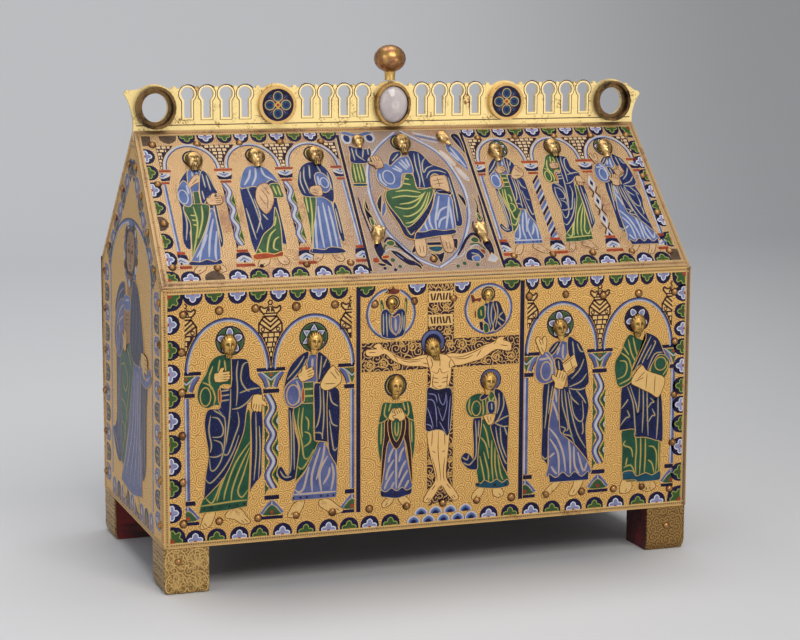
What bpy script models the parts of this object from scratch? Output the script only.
"""Reliquary casket: a wooden box shaped like a small house, covered with gilt copper sheets.

Metres, +Z up. X runs along the casket, -Y is its front, and the origin lies on the ground at
the middle of the base. A plate's face is drawn with x to the right and height upwards; the
roof's height runs up its slope from the eave.
"""
import math

import bmesh
import bpy
from mathutils import Matrix, Vector

# Driving dimensions of the box
DEPTH = 0.1425              # face of the front plate to face of the back plate
HALF_LENGTH_BASE = 0.1457   # half the length along X, at the walls' lower edge
HALF_LENGTH_EAVE = 0.1448   # the gables lean in a little, and more above the eave
HALF_LENGTH_RIDGE = 0.1422
WALL_FOOT = 0.024           # height of the walls' lower edge, and of the feet
EAVE_HEIGHT = 0.1556
RIDGE_HEIGHT = 0.2289       # top edge of the roof plates
RIDGE_HALF_GAP = 0.0019     # the roof plates stop short of the middle, for the crest
BOARD_RIDGE = 0.2232        # the boards and gable plates end flat under the crest
SHEET = 0.002               # copper sheet of the walls and roof
BOARD = 0.009               # oak boards
GAP = 0.0003                # clearance between two pieces that touch

# Feet
FOOT_WIDTH = 0.0232         # along X, with its cover
FOOT_DEPTH = 0.0252         # along Y, with its cover
COVER_SHEET = 0.001
COVER_BEND = 0.0016         # outer radius of the bend at the foot's corner
TUCK_HEIGHT = 0.005         # below this the outer faces curve inwards
TUCK = 0.0013

# Crest
CREST_THICKNESS = 0.0026
CREST_BASE = BOARD_RIDGE + GAP
CREST_HALF_LENGTH = 0.1423
CREST_WAIST = 0.232         # height where the ends start to flare
CREST_NOTCH = 0.2504        # height of the top edge between two lobes
CREST_CORNER = 0.1390       # where the top edge starts, beside the end lobes
LEAF_TIP_X = 0.147
LEFT_TIP_HEIGHT = 0.2484
RIGHT_TIP_HEIGHT = 0.2446
PEARL_RADIUS = 0.0011
KEYHOLE_PITCH = 0.01035
KEYHOLE_GROUPS = (-0.0979, -0.0327, 0.0322, 0.0968)
KEYHOLE_HEIGHT = 0.2476     # middle of the round part
KEYHOLE_RADIUS = 0.0037
KEYHOLE_SLOT = 0.0021       # half the slot's width
KEYHOLE_FOOT = 0.2352
KEYHOLE_LOBE = 0.00475      # radius of the scallop above a keyhole
OPENING_X = 0.007           # half sizes of the holes behind the open settings
OPENING_Z = 0.0076

# Settings on the crest: middle, radius across, radius up
SETTING_HEIGHT = 0.2408
LEFT_SETTING_X = -0.1309
RIGHT_SETTING_X = 0.1290
CRYSTAL_X = -0.0009
MEDALLION_X = 0.0652
MEDALLION_HEIGHT = 0.2414
MEDALLION_RADIUS = 0.0102
SETTING_WALL = 0.0016
SETTING_LEDGE = 0.0011
SETTING_DEPTH = 0.0042

# Knob
KNOB_X = -0.0013
KNOB_FOOT = 0.2537
KNOB_MIDDLE = 0.2651
KNOB_RADIUS = 0.0087
KNOB_HALF_HEIGHT = 0.0074

# Cast heads
WALL_RELIEF = 0.0036        # how far a head stands out from its plate
ROOF_RELIEF = 0.0042

EAVE_Y = DEPTH / 2
ROOF_RISE = (RIDGE_HEIGHT - EAVE_HEIGHT) / (EAVE_Y - RIDGE_HALF_GAP)
ROOF_ANGLE = math.atan(ROOF_RISE)
CLADDING = SHEET + GAP      # from a plate's face to the wood behind it
LINING = CLADDING + BOARD   # from a plate's face to the inside

COLLECTION = "reliquary_casket"


# ---------------------------------------------------------------- scene and materials

def clear_scene():
    """Remove whatever objects the file holds."""
    for obj in list(bpy.data.objects):
        bpy.data.objects.remove(obj, do_unlink=True)


def make_collection(name):
    """A collection linked to the scene."""
    collection = bpy.data.collections.new(name)
    bpy.context.scene.collection.children.link(collection)
    return collection


def make_material(name, colour, roughness, metallic):
    """A Principled material with plain values."""
    material = bpy.data.materials.new(name)
    material.use_nodes = True
    shader = material.node_tree.nodes["Principled BSDF"]
    shader.inputs["Base Color"].default_value = (*colour, 1.0)
    shader.inputs["Roughness"].default_value = roughness
    shader.inputs["Metallic"].default_value = metallic
    return material


# colour, roughness, metallic
FINISHES = {
    "oak": ((0.16, 0.035, 0.03), 0.75, 0.0),
    "enamelled_copper": ((0.62, 0.42, 0.18), 0.38, 0.9),
    "gilt_copper": ((0.72, 0.48, 0.20), 0.32, 1.0),
    "worn_gilt": ((0.50, 0.31, 0.14), 0.35, 1.0),
    "enamel": ((0.03, 0.08, 0.24), 0.25, 0.0),
    "crystal": ((0.95, 0.95, 0.96), 0.05, 0.0),
}


def finished_object(name, mesh, finish, parent=None):
    """Link a mesh as a named object with a material of its own."""
    obj = bpy.data.objects.new(name, mesh)
    mesh.name = name
    mesh.materials.clear()
    mesh.materials.append(make_material(f"{name}_{finish}", *FINISHES[finish]))
    mesh.shade_smooth()
    mesh.set_sharp_from_angle(angle=math.radians(35))
    bpy.data.collections[COLLECTION].objects.link(obj)
    obj.parent = parent
    return obj


# ---------------------------------------------------------------- shape tools

def arc(centre, radii, start, stop, steps):
    """Points on an ellipse, between two angles in degrees."""
    points = []
    for i in range(steps + 1):
        angle = math.radians(start + (stop - start) * i / steps)
        points.append((centre[0] + radii[0] * math.cos(angle),
                       centre[1] + radii[1] * math.sin(angle)))
    return points


def bend(start, control, stop, steps):
    """Points on a quadratic curve, without its first one."""
    a, b, c = Vector(start), Vector(control), Vector(stop)
    points = []
    for i in range(1, steps + 1):
        t = i / steps
        point = a * (1 - t) ** 2 + b * 2 * t * (1 - t) + c * t ** 2
        points.append(tuple(point))
    return points


def mirrored(points):
    """The same outline with its first coordinate turned round."""
    return [(-a, b) for a, b in reversed(points)]


def baked(obj):
    """The evaluated mesh of an object, which is then removed."""
    evaluated = obj.evaluated_get(bpy.context.evaluated_depsgraph_get())
    mesh = bpy.data.meshes.new_from_object(evaluated)
    bpy.data.objects.remove(obj, do_unlink=True)
    return mesh


def edit(mesh, action):
    """Run an action on a mesh through bmesh, then weld it and face it outwards."""
    bm = bmesh.new()
    bm.from_mesh(mesh)
    bmesh.ops.remove_doubles(bm, verts=bm.verts, dist=0.00001)
    action(bm)
    bm.normal_update()
    bmesh.ops.recalc_face_normals(bm, faces=bm.faces)
    bm.to_mesh(mesh)
    bm.free()
    return mesh


def flat_solid(outlines, thickness):
    """A sheet cut to an outline, further outlines being holes; it lies in XY about z = 0."""
    curve = bpy.data.curves.new("outline", "CURVE")
    curve.dimensions = "2D"
    curve.fill_mode = "BOTH"
    curve.extrude = thickness / 2
    for outline in outlines:
        spline = curve.splines.new("POLY")
        spline.points.add(len(outline) - 1)
        for point, (a, b) in zip(spline.points, outline):
            point.co = (a, b, 0, 1)
        spline.use_cyclic_u = True
    obj = bpy.data.objects.new("outline", curve)
    bpy.context.scene.collection.objects.link(obj)
    bpy.context.view_layer.update()
    return edit(baked(obj), lambda bm: None)


def turned_solid(profile, steps, closed=False):
    """A profile of (radius, height) turned about Z."""
    count = len(profile)
    edges = [(i, i + 1) for i in range(count - 1)]
    if closed:
        edges.append((count - 1, 0))
    mesh = bpy.data.meshes.new("profile")
    mesh.from_pydata([(radius, 0, height) for radius, height in profile], edges, [])
    obj = bpy.data.objects.new("profile", mesh)
    bpy.context.scene.collection.objects.link(obj)
    screw = obj.modifiers.new("turn", "SCREW")
    screw.steps = steps
    screw.render_steps = steps
    screw.use_merge_vertices = True
    screw.merge_threshold = 0.00001
    bpy.context.view_layer.update()
    return edit(baked(obj), lambda bm: None)


def keep_front(bm):
    """Cut away everything behind y = 0 and close the cut."""
    everything = bm.verts[:] + bm.edges[:] + bm.faces[:]
    cut = bmesh.ops.bisect_plane(bm, geom=everything, plane_co=(0, 0, 0),
                                 plane_no=(0, 1, 0), clear_outer=True)
    rim = [item for item in cut["geom_cut"] if isinstance(item, bmesh.types.BMEdge)]
    bmesh.ops.holes_fill(bm, edges=rim, sides=0)


# ---------------------------------------------------------------- the box

def half_length(z):
    """Half the casket's length along X at a height."""
    if z < EAVE_HEIGHT:
        share = (z - WALL_FOOT) / (EAVE_HEIGHT - WALL_FOOT)
        return HALF_LENGTH_BASE + (HALF_LENGTH_EAVE - HALF_LENGTH_BASE) * share
    share = (z - EAVE_HEIGHT) / (RIDGE_HEIGHT - EAVE_HEIGHT)
    return HALF_LENGTH_EAVE + (HALF_LENGTH_RIDGE - HALF_LENGTH_EAVE) * share


def roof_height(y, inset):
    """Height at a distance y from the middle of a plane laid this far inside the roof's face."""
    return EAVE_HEIGHT + (EAVE_Y - y) * ROOF_RISE - inset / math.cos(ROOF_ANGLE)


def roof_reach(z, inset):
    """Distance from the middle at which that plane has the height z."""
    return EAVE_Y - (z - EAVE_HEIGHT + inset / math.cos(ROOF_ANGLE)) / ROOF_RISE


def eave_corner(inset, lift):
    """Where wall and roof meet, this far inside their faces, as (y, z) on the +Y side."""
    y = EAVE_Y - inset
    return (y, roof_height(y, inset) + lift)


def wall_section(outer, inner):
    """Section of a wall layer, mitred under the roof."""
    return [(EAVE_Y - outer, WALL_FOOT), eave_corner(outer, -GAP / 2),
            eave_corner(inner, -GAP / 2), (EAVE_Y - inner, WALL_FOOT)]


def roof_plate_section():
    """Section of a roof plate, with an upright edge beside the crest."""
    return [eave_corner(0, GAP / 2),
            (RIDGE_HALF_GAP, roof_height(RIDGE_HALF_GAP, 0)),
            (RIDGE_HALF_GAP, roof_height(RIDGE_HALF_GAP, SHEET)),
            eave_corner(SHEET, GAP / 2)]


def roof_board_section():
    """Section of a roof board, cut flat under the crest."""
    middle = GAP / 2
    return [eave_corner(CLADDING, GAP / 2),
            (roof_reach(BOARD_RIDGE, CLADDING), BOARD_RIDGE),
            (middle, BOARD_RIDGE),
            (middle, roof_height(middle, LINING)),
            eave_corner(LINING, GAP / 2)]


def gable_section():
    """Outline of a gable: a wall with two slopes, cut flat under the crest."""
    half = [(EAVE_Y - CLADDING, WALL_FOOT), eave_corner(CLADDING, 0),
            (roof_reach(BOARD_RIDGE, CLADDING), BOARD_RIDGE)]
    return half + mirrored(half)


def floor_section():
    """Section of the floor board, between the front and back boards."""
    reach = EAVE_Y - LINING - GAP
    low = WALL_FOOT + GAP
    return [(-reach, low), (reach, low), (reach, low + BOARD), (-reach, low + BOARD)]


def leaning_slab(name, section, start, stop, finish):
    """A YZ section carried along X between two surfaces that lean with the gables.

    start and stop are (side, inset): -1 or 1 for the left or right end, and how far inside it.
    """
    def lean(bm):
        everything = bm.verts[:] + bm.edges[:] + bm.faces[:]
        bmesh.ops.bisect_plane(bm, geom=everything, plane_co=(0, EAVE_HEIGHT, 0),
                               plane_no=(0, 1, 0))
        for vert in bm.verts:
            y, z, end = vert.co
            side, inset = start if end < 0 else stop
            vert.co = (side * (half_length(z) - inset), y, z)

    mesh = edit(flat_solid([section], 1.0), lean)
    return finished_object(name, mesh, finish)


def make_box():
    """Boards of the wooden core and the copper sheets nailed on them."""
    ends = CLADDING + BOARD + GAP
    between_gables = ((-1, ends), (1, ends))
    whole_length = ((-1, 0), (1, 0))
    for front, name in ((True, "front"), (False, "back")):
        turn = mirrored if front else list
        leaning_slab(f"{name}_board", turn(wall_section(CLADDING, LINING)), *between_gables, "oak")
        leaning_slab(f"{name}_roof_board", turn(roof_board_section()), *between_gables, "oak")
        leaning_slab(f"{name}_plate", turn(wall_section(0, SHEET)), *whole_length,
                     "enamelled_copper")
        leaning_slab(f"{name}_roof_plate", turn(roof_plate_section()), *whole_length,
                     "enamelled_copper")
    for side, name in ((-1, "left"), (1, "right")):
        leaning_slab(f"{name}_gable_board", gable_section(), (side, CLADDING),
                     (side, CLADDING + BOARD), "oak")
        leaning_slab(f"{name}_gable_plate", gable_section(), (side, 0), (side, SHEET),
                     "enamelled_copper")
    leaning_slab("floor_board", floor_section(), *between_gables, "oak")


# ---------------------------------------------------------------- feet

def foot_outline(cover):
    """Plan of a foot's block or of its cover, with the foot's outer corner at the origin."""
    width, depth, skin = FOOT_WIDTH, FOOT_DEPTH, COVER_SHEET
    outer = arc((COVER_BEND, COVER_BEND), (COVER_BEND, COVER_BEND), 180, 270, 4)
    if cover:
        radius = COVER_BEND - skin
        inner = arc((COVER_BEND, COVER_BEND), (radius, radius), 270, 180, 4)
        return [(0, depth)] + outer + [(width, 0), (width, skin)] + inner + [(skin, depth)]
    inset = skin + GAP
    return [(inset, inset), (width, inset), (width, depth), (inset, depth)]


def foot_piece(name, cover, side_x, side_y, finish):
    """One foot's block or cover, tucked in near the ground."""
    low = GAP if cover else 0.0
    high = WALL_FOOT - GAP

    def shape(bm):
        for vert in bm.verts:
            vert.co.z = low if vert.co.z < 0 else high
        for share in (0.25, 0.5, 0.75, 1.0):
            everything = bm.verts[:] + bm.edges[:] + bm.faces[:]
            bmesh.ops.bisect_plane(bm, geom=everything, plane_no=(0, 0, 1),
                                   plane_co=(0, 0, TUCK_HEIGHT * share))
        for vert in bm.verts:
            tuck = TUCK * max(0.0, 1 - vert.co.z / TUCK_HEIGHT) ** 2
            along = max(0.0, 1 - vert.co.x / FOOT_WIDTH)
            across = max(0.0, 1 - vert.co.y / FOOT_DEPTH)
            vert.co.x += tuck * along
            vert.co.y += tuck * across
            vert.co.x = side_x * (HALF_LENGTH_BASE - vert.co.x)
            vert.co.y = side_y * (EAVE_Y - vert.co.y)

    return finished_object(name, edit(flat_solid([foot_outline(cover)], 1.0), shape), finish)


def make_feet():
    """Four blocks under the corners, each with a bent sheet on its two outer faces."""
    for side_y, end in ((-1, "front"), (1, "back")):
        for side_x, side in ((-1, "left"), (1, "right")):
            name = f"{end}_{side}_foot"
            foot_piece(name, False, side_x, side_y, "oak")
            foot_piece(f"{name}_cover", True, side_x, side_y, "gilt_copper")


# ---------------------------------------------------------------- crest

def keyhole_places():
    """The middles of the keyholes along X."""
    return [group + KEYHOLE_PITCH * (i - 1.5) for group in KEYHOLE_GROUPS for i in range(4)]


def keyhole_outline(x):
    """A round hole with a slot running down from it."""
    reach = math.degrees(math.acos(KEYHOLE_SLOT / KEYHOLE_RADIUS))
    head = arc((x, KEYHOLE_HEIGHT), (KEYHOLE_RADIUS, KEYHOLE_RADIUS), -reach, 180 + reach, 10)
    return head + [(x - KEYHOLE_SLOT, KEYHOLE_FOOT), (x + KEYHOLE_SLOT, KEYHOLE_FOOT)]


def lobe_places():
    """Every lobe of the top edge, left to right, as (x, z, radius, steps)."""
    lobes = [(x, KEYHOLE_HEIGHT, KEYHOLE_LOBE, 5) for x in keyhole_places()]
    lobes += [(side * MEDALLION_X, MEDALLION_HEIGHT, 0.0113, 6) for side in (-1, 1)]
    lobes += [(x, SETTING_HEIGHT, 0.0121, 6) for x in (LEFT_SETTING_X, RIGHT_SETTING_X)]
    lobes.append((CRYSTAL_X, SETTING_HEIGHT, 0.0126, 6))
    return sorted(lobes)


def top_edge():
    """The scalloped top edge from left to right: lobes with a pearl between each two."""
    points = []
    previous = None
    for x, z, radius, steps in lobe_places():
        start = math.degrees(math.asin((CREST_NOTCH - z) / radius))
        lobe = arc((x, z), (radius, radius), 180 - start, start, steps)
        if previous is not None:
            middle = (previous + lobe[0][0]) / 2
            points += arc((middle, CREST_NOTCH), (PEARL_RADIUS, 1.3 * PEARL_RADIUS), 180, 0, 4)
        points += lobe
        previous = lobe[-1][0]
    return points


def crest_end(tip_height):
    """One flared end, on the +X side, from the base up to the top edge."""
    foot = (CREST_HALF_LENGTH, CREST_BASE)
    waist = (CREST_HALF_LENGTH, CREST_WAIST)
    tip = (LEAF_TIP_X, tip_height)
    curl = (LEAF_TIP_X - 0.0012, tip_height + 0.0016)
    corner = (CREST_CORNER, CREST_NOTCH)
    flare = bend(waist, (CREST_HALF_LENGTH + 0.0002, tip_height - 0.007), tip, 5)
    shoulder = bend(curl, (CREST_CORNER + 0.0042, tip_height + 0.0012), corner, 4)
    return [foot, waist] + flare + [curl] + shoulder


def make_crest():
    """The pierced sheet along the ridge."""
    right_end = crest_end(RIGHT_TIP_HEIGHT)
    left_end = mirrored(crest_end(LEFT_TIP_HEIGHT))
    outline = right_end + list(reversed(top_edge())) + left_end
    holes = [keyhole_outline(x) for x in keyhole_places()]
    for x in (LEFT_SETTING_X, CRYSTAL_X, RIGHT_SETTING_X):
        holes.append(arc((x, SETTING_HEIGHT), (OPENING_X, OPENING_Z), 0, 360 - 22.5, 15))
    crest = finished_object("crest", flat_solid([outline] + holes, CREST_THICKNESS), "gilt_copper")
    crest.rotation_euler.x = math.pi / 2


def crest_fitting(name, mesh, x, z, across, finish):
    """Put a turned piece on the crest's front face, facing the front."""
    mesh.transform(Matrix.Diagonal((across, 1, 1, 1)))
    piece = finished_object(name, mesh, finish)
    piece.location = (x, -CREST_THICKNESS / 2 - GAP, z)
    piece.rotation_euler.x = math.pi / 2
    return piece


def setting_profile(radius, hole):
    """A collar with a narrow ledge at its back."""
    inner = radius - SETTING_WALL
    return [(hole, 0), (radius, 0), (radius, SETTING_DEPTH), (inner, SETTING_DEPTH),
            (inner, SETTING_LEDGE), (hole, SETTING_LEDGE)]


def make_fittings():
    """Settings, medallions and the crystal on the crest, and the knob on top of it."""
    for name, x in (("open_setting_left", LEFT_SETTING_X), ("open_setting_right", RIGHT_SETTING_X)):
        mesh = turned_solid(setting_profile(0.0112, 0.0075), 24, closed=True)
        crest_fitting(name, mesh, x, SETTING_HEIGHT, 0.94, "worn_gilt")
    mesh = turned_solid(setting_profile(0.0118, 0.0079), 24, closed=True)
    crest_fitting("crystal_setting", mesh, CRYSTAL_X, SETTING_HEIGHT, 0.83, "gilt_copper")

    girdle = 0.0118 - SETTING_WALL - GAP
    dome = [(girdle * math.cos(a), SETTING_LEDGE + GAP + 0.0012 + 0.0042 * math.sin(a))
            for a in (math.radians(15 * i) for i in range(7))]
    profile = dome[::-1] + [(girdle, SETTING_LEDGE + GAP), (0, SETTING_LEDGE + GAP)]
    crest_fitting("rock_crystal", turned_solid(profile, 24), CRYSTAL_X, SETTING_HEIGHT, 0.83,
                  "crystal")

    for side, name in ((-1, "left"), (1, "right")):
        rim = MEDALLION_RADIUS
        profile = [(0, 0.0016), (rim - 0.0013, 0.0016), (rim - 0.0010, 0.0024), (rim, 0.0020),
                   (rim, 0), (0, 0)]
        crest_fitting(f"enamel_medallion_{name}", turned_solid(profile, 24), side * MEDALLION_X,
                      MEDALLION_HEIGHT, 1.0, "enamel")

    ball = [(KNOB_RADIUS * math.cos(a), KNOB_MIDDLE + KNOB_HALF_HEIGHT * math.sin(a))
            for a in (math.radians(90 - 14 * i) for i in range(12))]
    neck = [(0.0026, 0.2572), (0.0025, 0.2561), (0.0031, 0.2548), (0.0036, KNOB_FOOT),
            (0, KNOB_FOOT)]
    ball[0] = (0, ball[0][1])
    knob = finished_object("knob", turned_solid(ball + neck, 20), "worn_gilt")
    knob.location.x = KNOB_X


# ---------------------------------------------------------------- cast heads

# Profiles of (half width, height), as shares of the head's width and height
HUMAN = [(0, 0.50), (0.27, 0.46), (0.42, 0.34), (0.49, 0.17), (0.50, 0.0), (0.45, -0.16),
         (0.36, -0.30), (0.23, -0.42), (0.22, -0.50), (0.25, -0.64), (0.32, -0.74), (0, -0.74)]
BEAST = [(0, 0.50), (0.34, 0.44), (0.48, 0.28), (0.50, 0.10), (0.40, -0.10), (0.31, -0.26),
         (0.30, -0.40), (0.22, -0.50), (0, -0.52)]
BIRD = [(0, 0.50), (0.32, 0.44), (0.48, 0.26), (0.50, 0.06), (0.38, -0.12), (0.20, -0.26),
        (0.09, -0.42), (0, -0.52)]

# name: (profile, x, height on the plate, width, height of the head, lean in degrees)
WALL_HEADS = {
    "apostle_head_1": (HUMAN, -0.1114, 0.1266, 0.0078, 0.0098, 0),
    "apostle_head_2": (HUMAN, -0.0663, 0.1258, 0.0078, 0.0095, 6),
    "apostle_head_3": (HUMAN, 0.0690, 0.1260, 0.0078, 0.0095, -8),
    "apostle_head_4": (HUMAN, 0.1143, 0.1258, 0.0082, 0.0100, 0),
    "crucified_head": (HUMAN, -0.0030, 0.1196, 0.0080, 0.0106, -20),
    "virgin_head": (HUMAN, -0.0226, 0.1003, 0.0078, 0.0100, 3),
    "john_head": (HUMAN, 0.0290, 0.0996, 0.0076, 0.0098, 8),
    "roundel_head_left": (HUMAN, -0.0252, 0.1430, 0.0050, 0.0058, 0),
    "roundel_head_right": (HUMAN, 0.0280, 0.1450, 0.0050, 0.0058, 5),
}
ROOF_HEADS = {
    "apostle_head_5": (HUMAN, -0.1144, 0.0795, 0.0082, 0.0098, 4),
    "apostle_head_6": (HUMAN, -0.0808, 0.0812, 0.0082, 0.0096, 0),
    "apostle_head_7": (HUMAN, -0.0483, 0.0815, 0.0082, 0.0098, 0),
    "apostle_head_8": (HUMAN, 0.0542, 0.0808, 0.0082, 0.0096, 0),
    "apostle_head_9": (HUMAN, 0.0882, 0.0832, 0.0082, 0.0100, -4),
    "apostle_head_10": (HUMAN, 0.1193, 0.0820, 0.0082, 0.0098, 0),
    "majesty_head": (HUMAN, 0.0020, 0.0884, 0.0084, 0.0104, 0),
    "angel_head": (HUMAN, -0.0224, 0.0905, 0.0062, 0.0070, 0),
    "eagle_head": (BIRD, 0.0262, 0.0918, 0.0060, 0.0076, -30),
    "lion_head": (BEAST, -0.0258, 0.0286, 0.0068, 0.0100, 20),
    "ox_head": (BEAST, 0.0314, 0.0281, 0.0066, 0.0110, -10),
}


def head_mesh(profile, width, height, relief):
    """A head in half relief with its flat back at y = 0, looking along -Y."""
    mesh = turned_solid([(r * width, z * height) for r, z in profile], 14)
    mesh.transform(Matrix.Diagonal((1, relief / (width / 2), 1, 1)))

    def shape(bm):
        nose_side, nose_low, nose_high = 0.12 * width, -0.2 * height, 0.05 * height
        for vert in bm.verts:
            in_reach = abs(vert.co.x) < nose_side and nose_low < vert.co.z < nose_high
            if in_reach and vert.co.y < 0:
                vert.co.y -= 0.1 * relief
        keep_front(bm)

    return edit(mesh, shape)


def make_frame(name, height, tilt):
    """An empty on a plate's face, so that pieces are placed by x and height on that plate."""
    empty = bpy.data.objects.new(name, None)
    bpy.data.collections[COLLECTION].objects.link(empty)
    empty.location = (0, -EAVE_Y, height)
    empty.rotation_euler.x = tilt
    return empty


def make_heads(heads, frame, relief):
    """Cast heads on one plate."""
    for name, (profile, x, z, width, height, lean) in heads.items():
        mesh = head_mesh(profile, width, height, 0.9 * relief)
        head = finished_object(name, mesh, "gilt_copper", frame)
        head.location = (x, -GAP, z)
        head.rotation_euler.y = math.radians(lean)


# ---------------------------------------------------------------- the whole

def main():
    """Build the casket."""
    clear_scene()
    make_collection(COLLECTION)
    make_box()
    make_feet()
    make_crest()
    make_fittings()
    wall_frame = make_frame("wall_frame", 0, 0)
    roof_frame = make_frame("roof_frame", EAVE_HEIGHT, ROOF_ANGLE - math.pi / 2)
    make_heads(WALL_HEADS, wall_frame, WALL_RELIEF)
    make_heads(ROOF_HEADS, roof_frame, ROOF_RELIEF)


main()
